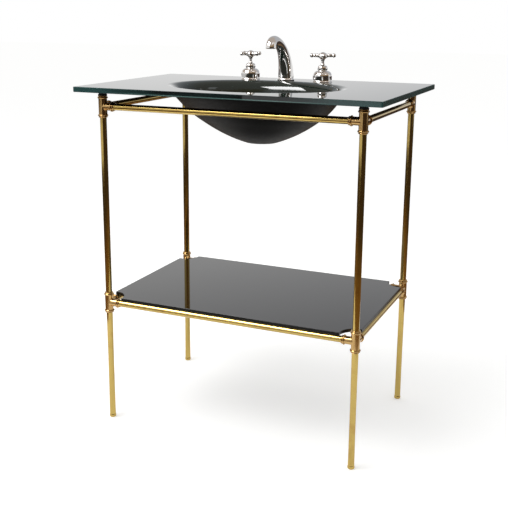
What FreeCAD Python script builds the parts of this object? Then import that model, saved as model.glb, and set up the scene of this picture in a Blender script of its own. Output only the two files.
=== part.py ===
"""Console sink: a glass top with a slumped basin on a brass tube frame, with a three-hole tap set.

Millimetres. +Z is up, +X is the user's right, -Y faces the user.
The origin is on the floor, under the centre of the glass top.
"""
import FreeCAD, Part
import os
from math import atan2, cos, hypot, pi, sin

INCH = 25.4

# Glass top
TOP_WIDTH = 30 * INCH
TOP_DEPTH = 19 * INCH
TOP_Z = 34 * INCH                     # upper face of the glass above the floor
GLASS = 12.7
UNDER_Z = TOP_Z - GLASS
TOP_CORNER_R = 4.0
ARRIS = 1.2

# Basin: oval levels whose half width follows (a/A)^n + (h/H)^n = 1, h being the depth below UNDER_Z
BASIN_EXPONENT = 1.45
BASIN_RATIO = 0.74                    # half depth over half width of the oval
BASIN_Y = -20.0                       # middle of the oval at the rim
BASIN_DRIFT = 40.0                    # how far back the waste lies from the middle of the rim
OUTER_HALF_WIDTH, OUTER_DROP, OUTER_FLAT = 216.0, 138.0, 40.0
INNER_HALF_WIDTH, INNER_DROP, INNER_FLAT = 201.0, 127.0, 36.0
BASIN_LEVELS = 8
RIM_R = 30.0                          # roll of the upper face into the basin
UNDER_RIM_R = 6.0
WASTE_R = 22.5

# Tube frame
TUBE_R = 8.0
TUBE_WALL = 1.2
LEG_X = TOP_WIDTH / 2 - 54
LEG_FRONT_Y = -TOP_DEPTH / 2 + 46
LEG_REAR_Y = TOP_DEPTH / 2 - 14
UPPER_Z = 815.0                       # axes of the upper and lower rails
LOWER_Z = 317.0
WAIST_R = 7.5                         # the lower legs draw in a little between tee and foot

# Tees: a barrel round the leg with an outlet for each rail
BARREL_HALF = 27.0
BARREL_R = 10.4
BARREL_BEAD_R = 12.6
BARREL_BEAD_AT = 21.3
OUTLET_LENGTH = 33.5
OUTLET_R = 9.5
OUTLET_BEAD_R = 12.0
OUTLET_BEAD_AT = 26.5
BEAD_HALF = 2.3
LIP_DROP = 0.9                        # the lip past the bead is this much smaller than its bead's root
SOCKET_R = TUBE_R + 0.1
BARREL_STOP = 8.0                     # where the leg tubes end, above and below the rail axis
OUTLET_STOP = 13.0                    # where the rail tubes end, from the leg axis
CROTCH_R = 1.6

# Feet and the bumpers under the glass
FOOT_R = 8.8
FOOT_HEIGHT = 9.0
BUMPER_FLANGE_R = 11.2
BUMPER_R = 9.2

# Shelf
SHELF_THICK = 8.0
SHELF_LAP = 3.5                       # past the rail axes
SHELF_NOTCH_R = 38.0
SHELF_ARRIS = 0.8

# Tap set
TAP_Y = TOP_DEPTH / 2 - 2.5 * INCH
TAP_SPREAD = 4 * INCH                 # from the spout to each handle
TAP_HOLE_R = 16.0
GASKET = 1.5

# Spout: heights above the glass
SPOUT_FOOT_R = 23.0
SPOUT_FOOT_HEIGHT = 3.5
SPOUT_BASE_R = 20.0
SPOUT_TIP_R = 12.9
SPOUT_BEND_Z = 12.0                   # where the arch springs
SPOUT_ARCH_REACH = 88.0               # the arch is a quarter of an ellipse
SPOUT_ARCH_RISE = 92.0
SPOUT_BEAK_R = 17.5
SPOUT_TAPER = 110.0                   # length over which the section narrows
SPOUT_WALL = 2.6
SHANK_R = 13.0
SHANK_BORE = 9.0
SHANK_END = -41.0

# Valves: heights above the glass
VALVE_R = 13.5
VALVE_NECK_R = 10.0
VALVE_NECK_Z = 14.0
VALVE_TOP = 34.0
VALVE_END = -58.0
INLET_R = 10.475                      # half-inch pipe thread, outside
INLET_LENGTH = 18.0
INLET_BORE = 6.0
CHAMBER_R = 8.0
CHAMBER_Z = -50.0
CROSSOVER_Z = -46.0
CROSSOVER_R = 4.75
PORT_R = 8.0
PORT_REACH = 26.0
PORT_SEAT = 19.0                      # where the pipe stops inside a port, from the upright axis
PORT_BORE = 3.5
NUT_GAP = 0.1                         # radial play of a nut on its thread

# Handles: heights above the glass
BELL_R = 24.4
BELL_LIP_R = 25.8
BELL_TOP = 28.3
BELL_DOME_R = 13.4
BELL_WALL = 1.6
COLLAR_R = 12.9
COLLAR_TOP = 41.5
SPINDLE_R = 4.0
SPINDLE_NECK_R = 2.8
RUNNING_GAP = 0.05
HANDLE_FOOT = 42.0
ARM_Z = 67.0
ARM_REACH = 33.6
BALL_R = 5.3
HUB_R = 11.8
HUB_TOP = 73.0
CAP_R = 6.3
CAP_FLOOR = 68.6                      # bottom of the recess that takes the screw's head and the cap
TANG = 4.2
TANG_FOOT = 51.0
TANG_TOP = 60.0
LEFT_TURN = 59.0                      # how the arms stand when shut, anticlockwise from +X
RIGHT_TURN = 24.0

UP = FreeCAD.Vector(0, 0, 1)
CORNERS = {
    "front_left": (-1, LEG_FRONT_Y),
    "front_right": (1, LEG_FRONT_Y),
    "rear_left": (-1, LEG_REAR_Y),
    "rear_right": (1, LEG_REAR_Y),
}


# ---------------------------------------------------------------- helpers
def point(x, y, z):
    return FreeCAD.Vector(x, y, z)


def cylinder(radius, low, high, x=0.0, y=0.0):
    """An upright cylinder between two heights."""
    return Part.makeCylinder(radius, high - low, point(x, y, low))


def turned(start, steps):
    """A solid turned about Z. A step is (r, z), or a pair (through, end) for an arc."""
    edges = []
    here = start
    for step in steps + [start]:
        arc = isinstance(step[0], tuple)
        end = step[1] if arc else step
        if arc:
            through = step[0]
            curve = Part.Arc(point(here[0], 0, here[1]), point(through[0], 0, through[1]),
                             point(end[0], 0, end[1]))
            edges.append(curve.toShape())
        else:
            edges.append(Part.makeLine(point(here[0], 0, here[1]), point(end[0], 0, end[1])))
        here = end
    face = Part.Face(Part.Wire(edges))
    return face.revolve(point(0, 0, 0), UP, 360)


def dome(rim_r, rim_z, top_z):
    """The step that closes a turned solid with part of a sphere, from its rim to the axis."""
    rise = top_z - rim_z
    ball_r = (rim_r ** 2 + rise ** 2) / (2 * rise)
    tilt = atan2(rim_r, ball_r - rise) / 2
    return ((ball_r * sin(tilt), top_z - ball_r * (1 - cos(tilt))), (0, top_z))


def placed(shape, x=0.0, y=0.0, z=0.0):
    copy = shape.copy()
    copy.translate(point(x, y, z))
    return copy


def laid(shape, direction):
    """The shape with its Z axis turned to lie along a direction."""
    copy = shape.copy()
    copy.Placement = FreeCAD.Placement(point(0, 0, 0), FreeCAD.Rotation(UP, direction))
    return copy


def tube(radius, bore, start, end):
    """A straight hollow tube between two points."""
    run = end - start
    outside = Part.makeCylinder(radius, run.Length, start, run)
    return outside.cut(Part.makeCylinder(bore, run.Length, start, run))


def washer(radius, bore, low, high):
    return cylinder(radius, low, high).cut(cylinder(bore, low, high))


def hex_nut(across_flats, bore, low, high):
    """A hexagon nut whose corners are turned off at both faces."""
    corner = across_flats / 2 / cos(pi / 6)
    rim = [point(corner * cos(k * pi / 3), corner * sin(k * pi / 3), low) for k in range(7)]
    prism = Part.Face(Part.makePolygon(rim)).extrude(point(0, 0, high - low))
    turned_off = turned((0, low), [(across_flats / 2, low), (corner, low + 0.9), (corner, high - 0.9),
                                   (across_flats / 2, high), (0, high)])
    return prism.common(turned_off).cut(cylinder(bore, low, high))


# ---------------------------------------------------------------- glass
def basin_oval(half_width, drop, depth):
    """The oval of a basin surface at a depth below the underside of the slab."""
    share = max(depth, 0) / drop
    a = half_width * (1 - share ** BASIN_EXPONENT) ** (1 / BASIN_EXPONENT)
    b = a * (BASIN_RATIO + (1 - BASIN_RATIO) * share ** 4)
    y = BASIN_Y + BASIN_DRIFT * max(depth, 0) / OUTER_DROP
    oval = Part.Ellipse(point(0, y, UNDER_Z - depth), a, b)
    return Part.Wire(oval.toShape())


def basin_body(half_width, drop, flat, rise):
    """The solid inside one surface of the basin, from a rise above the underside to its flat bottom."""
    flat_share = (1 - (flat / half_width) ** BASIN_EXPONENT) ** (1 / BASIN_EXPONENT)
    depths = [-rise, 0.0]
    for k in range(1, BASIN_LEVELS):
        depths.append(drop * flat_share * sin(k / (BASIN_LEVELS - 1) * pi / 2) ** 1.2)
    return Part.makeLoft([basin_oval(half_width, drop, depth) for depth in depths], True)


def rounded_slab(x0, x1, y0, y1, z0, z1, corner_r):
    slab = Part.makeBox(x1 - x0, y1 - y0, z1 - z0, point(x0, y0, z0))
    upright = [e for e in slab.Edges if abs(e.tangentAt(e.FirstParameter).z) > 0.99]
    return slab.makeFillet(corner_r, upright)


def flat_outline_edges(shape, z, least):
    """The edges that lie at one height and reach further out than a distance from the middle."""
    return [e for e in shape.Edges
            if abs(e.BoundBox.ZMin - z) < 0.01 and abs(e.BoundBox.ZMax - z) < 0.01
            and max(abs(e.CenterOfMass.x), abs(e.CenterOfMass.y)) > least]


def oval_edges(shape, z):
    """The rims of the basin at one height."""
    return [e for e in shape.Edges
            if abs(e.BoundBox.ZMin - z) < 0.01 and abs(e.BoundBox.ZMax - z) < 0.01
            and e.BoundBox.XLength > 350 and e.BoundBox.XLength < 500 and e.BoundBox.YLength > 200]


def glass_top():
    slab = rounded_slab(-TOP_WIDTH / 2, TOP_WIDTH / 2, -TOP_DEPTH / 2, TOP_DEPTH / 2,
                        UNDER_Z, TOP_Z, TOP_CORNER_R)
    least = TOP_DEPTH / 2 - TOP_CORNER_R - 1
    rims = flat_outline_edges(slab, TOP_Z, least) + flat_outline_edges(slab, UNDER_Z, least)
    slab = slab.makeChamfer(ARRIS, rims)
    bowl = basin_body(OUTER_HALF_WIDTH, OUTER_DROP, OUTER_FLAT, GLASS / 2)
    glass = slab.fuse(bowl)
    glass = glass.makeFillet(UNDER_RIM_R, oval_edges(glass, UNDER_Z))
    glass = glass.cut(basin_body(INNER_HALF_WIDTH, INNER_DROP, INNER_FLAT, GLASS + 8))
    glass = glass.makeFillet(RIM_R, oval_edges(glass, TOP_Z))
    waste_y = BASIN_Y + BASIN_DRIFT * INNER_DROP / OUTER_DROP
    glass = glass.cut(cylinder(WASTE_R, UNDER_Z - OUTER_DROP - 5, UNDER_Z - INNER_DROP + 30, 0, waste_y))
    for x in (-TAP_SPREAD, 0, TAP_SPREAD):
        glass = glass.cut(cylinder(TAP_HOLE_R, UNDER_Z - 1, TOP_Z + 1, x, TAP_Y))
    return glass


def shelf():
    top = LOWER_Z + TUBE_R + SHELF_THICK
    half_x = LEG_X + SHELF_LAP
    sheet = Part.makeBox(2 * half_x, LEG_REAR_Y - LEG_FRONT_Y + 2 * SHELF_LAP, SHELF_THICK,
                         point(-half_x, LEG_FRONT_Y - SHELF_LAP, top - SHELF_THICK))
    for side, y in CORNERS.values():
        sheet = sheet.cut(cylinder(SHELF_NOTCH_R, top - SHELF_THICK - 1, top + 1, side * LEG_X, y))
    rims = flat_outline_edges(sheet, top, 0) + flat_outline_edges(sheet, top - SHELF_THICK, 0)
    return sheet.makeChamfer(SHELF_ARRIS, rims)


# ---------------------------------------------------------------- frame
def outlet_form(radius, bead_r, bead_at, length):
    """One arm of a tee, turned: a barrel with a round bead near its end and a short lip past it."""
    lip = radius - LIP_DROP / 2
    return turned((0, 0), [
        (radius, 0),
        (radius, bead_at - BEAD_HALF),
        ((bead_r, bead_at), (radius, bead_at + BEAD_HALF)),
        (lip, bead_at + BEAD_HALF + 0.4),
        ((lip + 1.0, bead_at + BEAD_HALF + 1.6), (lip, length - 0.4)),
        (lip - 0.6, length),
        (0, length),
    ])


def socket(stop, length):
    return cylinder(SOCKET_R, stop, length + 1)


def crotch_edges(shape):
    """The curved seams where the arms of a tee run into its barrel."""
    seams = []
    for edge in shape.Edges:
        box = edge.BoundBox
        middle = box.Center
        curved_in_space = min(box.XLength, box.YLength, box.ZLength) > 0.5
        near = max(abs(middle.x), abs(middle.y), abs(middle.z)) < BARREL_R + 2
        if curved_in_space and near:
            seams.append(edge)
    return seams


def tee(side, y, outlets):
    """A tee whose outlets run to the other legs: inwards along X, and along Y to the other row."""
    across = point(-side, 0, 0)
    along = point(0, 1, 0) if y < 0 else point(0, -1, 0)
    directions = [{"across": across, "along": along}[name] for name in outlets]
    barrel_arm = outlet_form(BARREL_R, BARREL_BEAD_R, BARREL_BEAD_AT, BARREL_HALF)
    outlet_arm = outlet_form(OUTLET_R, OUTLET_BEAD_R, OUTLET_BEAD_AT, OUTLET_LENGTH)
    body = barrel_arm.fuse(laid(barrel_arm, point(0, 0, -1)))
    for direction in directions:
        body = body.fuse(laid(outlet_arm, direction))
    body = body.removeSplitter()
    body = body.makeFillet(CROTCH_R, crotch_edges(body))
    for direction in (UP, point(0, 0, -1)):
        body = body.cut(laid(socket(BARREL_STOP, BARREL_HALF), direction))
    for direction in directions:
        body = body.cut(laid(socket(OUTLET_STOP, OUTLET_LENGTH), direction))
    return body


def upper_leg(side, y):
    return tube(TUBE_R, TUBE_R - TUBE_WALL, point(side * LEG_X, y, LOWER_Z + BARREL_STOP),
                point(side * LEG_X, y, UPPER_Z - BARREL_STOP))


def lower_leg(side, y):
    top = LOWER_Z - BARREL_STOP
    bore = WAIST_R - TUBE_WALL
    leg = turned((bore, FOOT_HEIGHT), [
        (TUBE_R, FOOT_HEIGHT),
        ((WAIST_R, 110), (TUBE_R, 270)),
        (TUBE_R, top),
        (bore, top),
    ])
    return placed(leg, side * LEG_X, y)


def foot(side, y):
    """A turned foot with rounded edges and a spigot that fills the end of the leg."""
    spigot = WAIST_R - TUBE_WALL - NUT_GAP
    form = turned((0, 0), [
        (FOOT_R - 3.5, 0),
        ((FOOT_R - 0.9, 1.1), (FOOT_R, 3.6)),
        ((FOOT_R - 0.2, 6.6), (TUBE_R, FOOT_HEIGHT)),
        (spigot, FOOT_HEIGHT),
        (spigot, FOOT_HEIGHT + 15),
        (0, FOOT_HEIGHT + 15),
    ])
    return placed(form, side * LEG_X, y)


def bumper(side, y):
    """A rubber plug in the top of a tee: flange on the tee, stub up to the glass."""
    base = UPPER_Z + BARREL_HALF
    form = turned((0, base - 12), [
        (TUBE_R, base - 12),
        (TUBE_R, base),
        (BUMPER_FLANGE_R, base),
        (BUMPER_FLANGE_R, base + 1.4),
        (BUMPER_R + 0.8, base + 2.6),
        (BUMPER_R, base + 4.5),
        (BUMPER_R, UNDER_Z),
        (0, UNDER_Z),
    ])
    return placed(form, side * LEG_X, y)


def rail_across(y, z):
    reach = LEG_X - OUTLET_STOP
    return tube(TUBE_R, TUBE_R - TUBE_WALL, point(-reach, y, z), point(reach, y, z))


def rail_along(side, z):
    return tube(TUBE_R, TUBE_R - TUBE_WALL, point(side * LEG_X, LEG_FRONT_Y + OUTLET_STOP, z),
                point(side * LEG_X, LEG_REAR_Y - OUTLET_STOP, z))


# ---------------------------------------------------------------- spout
def spout_line():
    """Centres and headings along the spout in the YZ plane: a straight, a rising arch and a beak."""
    stations = [(0.0, SPOUT_FOOT_HEIGHT, 0.0)]
    for k in range(9):
        t = pi / 2 * k / 8
        stations.append((-SPOUT_ARCH_REACH * (1 - cos(t)), SPOUT_BEND_Z + SPOUT_ARCH_RISE * sin(t),
                         atan2(SPOUT_ARCH_REACH * sin(t), SPOUT_ARCH_RISE * cos(t))))
    for k in range(1, 5):
        t = pi / 2 * k / 4
        stations.append((-SPOUT_ARCH_REACH - SPOUT_BEAK_R * sin(t),
                         SPOUT_BEND_Z + SPOUT_ARCH_RISE - SPOUT_BEAK_R * (1 - cos(t)), pi / 2 + t))
    return stations


def spout_form(inset):
    """The spout's bent taper, or with an inset the waterway inside it."""
    stations = spout_line()
    rings = []
    length = 0.0
    last = stations[0]
    for y, z, turn in stations:
        length += hypot(y - last[0], z - last[1])
        share = min(length / SPOUT_TAPER, 1.0)
        radius = SPOUT_TIP_R + (SPOUT_BASE_R - SPOUT_TIP_R) * (0.5 + 0.5 * cos(pi * share)) - inset
        ring = Part.Circle(point(0, y, z), point(0, -sin(turn), cos(turn)), radius)
        rings.append(Part.Wire(ring.toShape()))
        last = (y, z)
    return Part.makeLoft(rings, True)


def spout_body():
    foot_disc = turned((0, GASKET), [
        (SPOUT_FOOT_R - 0.6, GASKET),
        ((SPOUT_FOOT_R, 2.2), (SPOUT_FOOT_R - 0.9, 3.1)),
        ((SPOUT_BASE_R + 1.2, 3.9), (SPOUT_BASE_R + 0.1, 6.5)),
        (0, 6.5),
    ])
    mouth_y, mouth_z, _ = spout_line()[-1]
    body = spout_form(0.0)
    mouth_rim = [e for e in body.Edges if abs(e.BoundBox.ZMax - mouth_z) < 0.01 and e.BoundBox.ZLength < 0.01]
    body = body.makeFillet(1.2, mouth_rim).fuse(foot_disc)
    body = body.fuse(cylinder(SHANK_R, SHANK_END, SPOUT_FOOT_HEIGHT + 1))
    body = body.cut(spout_form(SPOUT_WALL))
    body = body.cut(cylinder(SHANK_BORE, SHANK_END - 1, SPOUT_FOOT_HEIGHT + 2))
    body = body.cut(cylinder(SPOUT_TIP_R - 1.3, mouth_z - 1, mouth_z + 7, 0, mouth_y))
    return placed(body, 0, TAP_Y, TOP_Z)


def aerator():
    """A ring in the mouth that holds a plate drilled in two circles round a centre hole."""
    mouth_y, mouth_z, _ = spout_line()[-1]
    outer = SPOUT_TIP_R - 1.3 - RUNNING_GAP
    ring = turned((outer - 2.2, mouth_z - 0.9), [
        (outer - 0.7, mouth_z - 0.9),
        (outer, mouth_z - 0.2),
        (outer, mouth_z + 6.5),
        (outer - 2.2, mouth_z + 6.5),
    ])
    plate = cylinder(outer - 2.0, mouth_z + 1.0, mouth_z + 2.6)
    holes = [cylinder(1.1, mouth_z, mouth_z + 4)]
    for radius, count in ((3.6, 6), (6.9, 12)):
        for k in range(count):
            angle = 2 * pi * k / count
            holes.append(cylinder(1.1, mouth_z, mouth_z + 4, radius * cos(angle), radius * sin(angle)))
    return placed(ring.fuse(plate.cut(Part.makeCompound(holes))), 0, TAP_Y + mouth_y, TOP_Z)


def spout_gasket():
    return placed(washer(SPOUT_FOOT_R - 1.0, TAP_HOLE_R, 0, GASKET), 0, TAP_Y, TOP_Z)


def spout_washer():
    return placed(washer(24.0, SHANK_R + NUT_GAP, -GLASS - 2.5, -GLASS), 0, TAP_Y, TOP_Z)


def spout_nut():
    return placed(hex_nut(38.0, SHANK_R + NUT_GAP, -GLASS - 11.5, -GLASS - 2.5), 0, TAP_Y, TOP_Z)


def spout_tee():
    """The block under the spout that brings hot and cold together."""
    low, high = CROSSOVER_Z - 12, CROSSOVER_Z + 12
    block = turned((0, low), [(15.5, low), (17.0, low + 1.5), (17.0, high - 1.0), (16.0, high), (0, high)])
    for side in (-1, 1):
        arm = Part.makeCylinder(PORT_R, PORT_REACH, point(0, 0, CROSSOVER_Z), point(side, 0, 0))
        block = block.fuse(arm)
    block = block.cut(cylinder(SHANK_R + NUT_GAP, SHANK_END, high + 1))
    block = block.cut(cylinder(SHANK_BORE, low + 3, SHANK_END + 1))
    for side in (-1, 1):
        outwards = point(side, 0, 0)
        block = block.cut(Part.makeCylinder(PORT_BORE, PORT_REACH, point(0, 0, CROSSOVER_Z), outwards))
        seat_start = point(side * PORT_SEAT, 0, CROSSOVER_Z)
        block = block.cut(Part.makeCylinder(CROSSOVER_R + NUT_GAP, 10, seat_start, outwards))
    return placed(block, 0, TAP_Y, TOP_Z)


# ---------------------------------------------------------------- valves
def valve_body(side):
    inlet_end = VALVE_END - INLET_LENGTH
    body = turned((0, inlet_end), [
        (INLET_R - 0.8, inlet_end),
        (INLET_R, inlet_end + 0.8),
        (INLET_R, VALVE_END),
        (VALVE_R, VALVE_END),
        (VALVE_R, VALVE_NECK_Z),
        (VALVE_NECK_R, VALVE_NECK_Z),
        (VALVE_NECK_R, VALVE_TOP),
        (0, VALVE_TOP),
    ])
    inwards = point(-side, 0, 0)
    body = body.fuse(Part.makeCylinder(PORT_R, PORT_REACH, point(0, 0, CROSSOVER_Z), inwards))
    body = body.cut(cylinder(INLET_BORE, inlet_end - 1, CHAMBER_Z + 1))
    body = body.cut(cylinder(CHAMBER_R, CHAMBER_Z, VALVE_TOP + 1))
    body = body.cut(Part.makeCylinder(PORT_BORE, PORT_REACH + 1, point(0, 0, CROSSOVER_Z), inwards))
    seat_start = point(-side * PORT_SEAT, 0, CROSSOVER_Z)
    body = body.cut(Part.makeCylinder(CROSSOVER_R + NUT_GAP, 8, seat_start, inwards))
    return placed(body, side * TAP_SPREAD, TAP_Y, TOP_Z)


def cartridge(side):
    """The fixed sleeve in the valve: a flange on the valve's neck, a bore for the spindle, a disc chamber."""
    sleeve_r = CHAMBER_R - NUT_GAP
    bore = SPINDLE_R + RUNNING_GAP
    sleeve = turned((bore, -28), [
        (bore, VALVE_TOP + 3),
        (VALVE_NECK_R - 0.4, VALVE_TOP + 3),
        (VALVE_NECK_R - 0.4, VALVE_TOP),
        (sleeve_r, VALVE_TOP),
        (sleeve_r, -35),
        (6.6, -35),
        (6.6, -28),
    ])
    return placed(sleeve, side * TAP_SPREAD, TAP_Y, TOP_Z)


def spindle(side):
    """The turning stem: a disc at the seat, a shank in the cartridge, a slim neck and a square tang."""
    stem = turned((0, -33), [
        (6.5, -33),
        (6.5, -28.4),
        (SPINDLE_R, -28.4),
        (SPINDLE_R, COLLAR_TOP - 1),
        (SPINDLE_NECK_R, COLLAR_TOP),
        (SPINDLE_NECK_R, TANG_FOOT),
        (0, TANG_FOOT),
    ])
    tang = Part.makeBox(TANG, TANG, TANG_TOP - TANG_FOOT, point(-TANG / 2, -TANG / 2, TANG_FOOT))
    stem = stem.fuse(tang).cut(cylinder(1.5, TANG_FOOT + 1, TANG_TOP + 1))
    return placed(turned_to(stem, side), side * TAP_SPREAD, TAP_Y, TOP_Z)


def turned_to(shape, side):
    """The shape, turned about Z to how that side's handle stands when shut."""
    copy = shape.copy()
    copy.rotate(point(0, 0, 0), UP, LEFT_TURN if side < 0 else RIGHT_TURN)
    return copy


def bell(side):
    """The chromed cover over each valve's nut: a thin shell with a lip at its foot and a domed shoulder."""
    centre_r = BELL_R - BELL_DOME_R
    flat_r = COLLAR_R - 0.4
    rise = (BELL_DOME_R ** 2 - (flat_r - centre_r) ** 2) ** 0.5
    spring = BELL_TOP - rise
    half_turn = atan2(rise, flat_r - centre_r) / 2
    inner_r = BELL_DOME_R - BELL_WALL
    shell = turned((BELL_LIP_R - BELL_WALL, 0), [
        (BELL_LIP_R, 0),
        (BELL_LIP_R, 0.8),
        ((BELL_R + 0.4, 2.6), (BELL_R, 5.5)),
        (BELL_R, spring),
        ((centre_r + BELL_DOME_R * cos(half_turn), spring + BELL_DOME_R * sin(half_turn)),
         (flat_r, BELL_TOP)),
        (VALVE_NECK_R + 0.4, BELL_TOP),
        (VALVE_NECK_R + 0.4, BELL_TOP - BELL_WALL),
        (flat_r, spring + (inner_r ** 2 - (flat_r - centre_r) ** 2) ** 0.5),
        ((centre_r + inner_r * cos(half_turn), spring + inner_r * sin(half_turn)),
         (BELL_R - BELL_WALL, spring)),
        (BELL_R - BELL_WALL, 5.5),
    ])
    return placed(shell, side * TAP_SPREAD, TAP_Y, TOP_Z)


def collar(side):
    """The rounded nut that screws on the valve's neck and holds the bell and the cartridge down."""
    low, high = BELL_TOP, COLLAR_TOP
    middle = (low + high) / 2
    nut = turned((VALVE_NECK_R + NUT_GAP, low), [
        (COLLAR_R - 1.6, low),
        ((COLLAR_R, middle - 1.5), (COLLAR_R - 0.5, high - 4.2)),
        ((COLLAR_R - 2.0, high - 1.4), (COLLAR_R - 5.6, high)),
        (SPINDLE_R + 0.5, high),
        (SPINDLE_R + 0.5, VALVE_TOP + 3),
        (VALVE_NECK_R + NUT_GAP, VALVE_TOP + 3),
    ])
    return placed(nut, side * TAP_SPREAD, TAP_Y, TOP_Z)


# ---------------------------------------------------------------- handles
def handle_arm():
    """One arm, turned along its own axis: bead, swelling, neck and ball end."""
    neck_r = 3.2
    neck_end = ARM_REACH - BALL_R - (BALL_R ** 2 - neck_r ** 2) ** 0.5
    return turned((0, 0), [
        (3.9, 0),
        (3.9, 12.4),
        ((5.0, 14.4), (3.9, 16.4)),
        ((4.5, 20.2), (neck_r, neck_end)),
        dome(neck_r, neck_end, ARM_REACH),
    ])


def handle(side):
    """The cross handle: trumpet neck, domed hub and four turned arms."""
    bore = SPINDLE_NECK_R + RUNNING_GAP
    body = turned((bore, HANDLE_FOOT), [
        (6.2, HANDLE_FOOT),
        (6.2, 43.2),
        ((4.9, 45.0), (4.4, 48.0)),
        (4.4, 52.0),
        ((5.4, 57.0), (8.6, 60.2)),
        (HUB_R - 1.2, 61.0),
        ((HUB_R - 0.2, 61.7), (HUB_R, 63.0)),
        (HUB_R, 67.0),
        ((HUB_R - 1.6, 70.8), (CAP_R + 1.1, HUB_TOP)),
        (CAP_R + 0.1, HUB_TOP),
        (CAP_R + 0.1, CAP_FLOOR),
        (1.6, CAP_FLOOR),
        (1.6, TANG_TOP + 2),
        (bore, TANG_TOP + 2),
    ])
    for k in range(4):
        arm = laid(handle_arm(), point(cos(k * pi / 2), sin(k * pi / 2), 0))
        body = body.fuse(placed(arm, 0, 0, ARM_Z).cut(cylinder(HUB_R - 3, 50, 80)))
    square = TANG + 2 * RUNNING_GAP
    corner = point(-square / 2, -square / 2, TANG_FOOT)
    body = body.cut(Part.makeBox(square, square, TANG_TOP + 2 - TANG_FOOT, corner))
    return placed(turned_to(body, side), side * TAP_SPREAD, TAP_Y, TOP_Z)


def handle_screw(side):
    """The screw that draws the handle down on the tang, under the index cap."""
    head_top = CAP_FLOOR + 2.4
    screw = turned((0, TANG_FOOT + 4), [(1.4, TANG_FOOT + 4), (1.4, CAP_FLOOR), (3.2, CAP_FLOOR),
                                        (3.2, head_top - 1), (2.4, head_top), (0, head_top)])
    slot = Part.makeBox(8, 0.8, 2, point(-4, -0.4, head_top - 0.8))
    return placed(turned_to(screw.cut(slot), side), side * TAP_SPREAD, TAP_Y, TOP_Z)


def index_cap(side):
    """The plain domed cap in the top of the hub."""
    cap = turned((CAP_R - 1.7, CAP_FLOOR + 0.6), [
        (CAP_R, CAP_FLOOR + 0.6),
        (CAP_R, HUB_TOP + 0.2),
        dome(CAP_R, HUB_TOP + 0.2, HUB_TOP + 2.4),
        (0, HUB_TOP + 0.4),
        (CAP_R - 1.7, HUB_TOP - 0.8),
    ])
    return placed(cap, side * TAP_SPREAD, TAP_Y, TOP_Z)


# ---------------------------------------------------------------- fixings under and on the glass
def both_sides(shape):
    return Part.makeCompound([placed(shape, side * TAP_SPREAD, TAP_Y, TOP_Z) for side in (-1, 1)])


def valve_washers():
    """Two washers to a valve, one on each face of the glass."""
    bore = VALVE_R + NUT_GAP
    pair = [washer(21.0, bore, 0, GASKET), washer(23.0, bore, -GLASS - 2.0, -GLASS)]
    return Part.makeCompound([placed(w, side * TAP_SPREAD, TAP_Y, TOP_Z) for w in pair for side in (-1, 1)])


def valve_top_nuts():
    return both_sides(hex_nut(36.0, VALVE_R + NUT_GAP, GASKET, GASKET + 8))


def valve_lock_nuts():
    return both_sides(hex_nut(38.0, VALVE_R + NUT_GAP, -GLASS - 11, -GLASS - 2))


def crossover_tube(side):
    """The straight pipe from a valve's side port to the block under the spout."""
    near, far = PORT_SEAT + 0.2, TAP_SPREAD - PORT_SEAT - 0.2
    pipe = tube(CROSSOVER_R, CROSSOVER_R - 1.0, point(side * near, TAP_Y, TOP_Z + CROSSOVER_Z),
                point(side * far, TAP_Y, TOP_Z + CROSSOVER_Z))
    return pipe


def crossover_nuts():
    """Four union nuts, one where each pipe enters a port."""
    length, grip = 12.0, 8.0
    nut = hex_nut(20.0, CROSSOVER_R + NUT_GAP, 0, length).cut(cylinder(PORT_R + NUT_GAP, -1, grip))
    nuts = []
    for side in (-1, 1):
        for start, heading in ((PORT_REACH - grip, side), (TAP_SPREAD - PORT_REACH + grip, -side)):
            lying = laid(nut, point(heading, 0, 0))
            nuts.append(placed(lying, side * start, TAP_Y, TOP_Z + CROSSOVER_Z))
    return Part.makeCompound(nuts)


# ---------------------------------------------------------------- assembly
def all_parts():
    parts = {"glass_top": glass_top(), "shelf": shelf()}
    parts["glass_bumpers"] = Part.makeCompound([bumper(side, y) for side, y in CORNERS.values()])
    for corner, (side, y) in CORNERS.items():
        upper_outlets = ["across", "along"] if y < 0 else ["along"]
        parts["upper_tee_" + corner] = placed(tee(side, y, upper_outlets), side * LEG_X, y, UPPER_Z)
        parts["lower_tee_" + corner] = placed(tee(side, y, ["across", "along"]), side * LEG_X, y, LOWER_Z)
        parts["upper_leg_" + corner] = upper_leg(side, y)
        parts["lower_leg_" + corner] = lower_leg(side, y)
        parts["foot_" + corner] = foot(side, y)
    for level, z in (("upper", UPPER_Z), ("lower", LOWER_Z)):
        parts[level + "_rail_front"] = rail_across(LEG_FRONT_Y, z)
        parts[level + "_rail_left"] = rail_along(-1, z)
        parts[level + "_rail_right"] = rail_along(1, z)
    parts["lower_rail_rear"] = rail_across(LEG_REAR_Y, LOWER_Z)
    parts["spout_body"] = spout_body()
    parts["aerator"] = aerator()
    parts["spout_gasket"] = spout_gasket()
    parts["spout_washer"] = spout_washer()
    parts["spout_nut"] = spout_nut()
    parts["spout_tee"] = spout_tee()
    for name, side in (("left", -1), ("right", 1)):
        parts[name + "_valve_body"] = valve_body(side)
        parts[name + "_cartridge"] = cartridge(side)
        parts[name + "_spindle"] = spindle(side)
        parts[name + "_bell"] = bell(side)
        parts[name + "_collar"] = collar(side)
        parts[name + "_handle"] = handle(side)
        parts[name + "_handle_screw"] = handle_screw(side)
        parts[name + "_index_cap"] = index_cap(side)
        parts[name + "_crossover_tube"] = crossover_tube(side)
    parts["valve_washers"] = valve_washers()
    parts["valve_top_nuts"] = valve_top_nuts()
    parts["valve_lock_nuts"] = valve_lock_nuts()
    parts["crossover_nuts"] = crossover_nuts()
    return parts


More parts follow.
